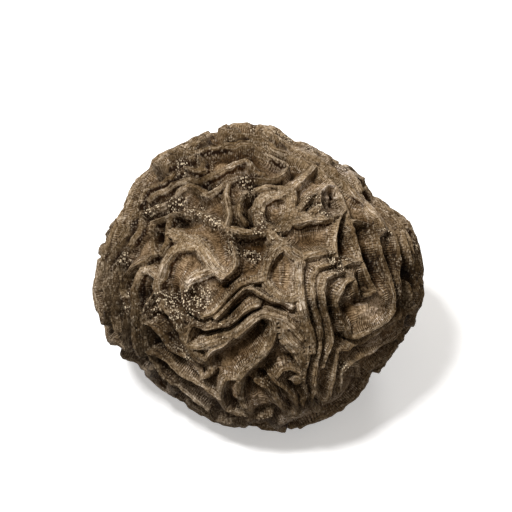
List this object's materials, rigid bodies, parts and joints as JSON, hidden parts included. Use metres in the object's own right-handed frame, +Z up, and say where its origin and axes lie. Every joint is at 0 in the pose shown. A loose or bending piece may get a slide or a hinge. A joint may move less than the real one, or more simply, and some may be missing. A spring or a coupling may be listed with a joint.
{
  "type": "brain coral",
  "caption": "Dried brain coral boulder with winding ridges, deep valleys and a few round borings, sawn flat underneath so that it stands.",
  "frame": {"origin": "on the flat cut underneath, straight below the middle of the dome", "axes": "+Z up out of the flat cut through the crown, -Y towards the side the picture shows, +X to the right in the picture"},
  "size_m": [0.1641, 0.1598, 0.1279],
  "materials": {
    "coral": "dry rough skeleton, tan ridge tops, brown valleys"
  },
  "bodies": {
    "root": {"brain_coral": "coral"}
  },
  "joints": []
}
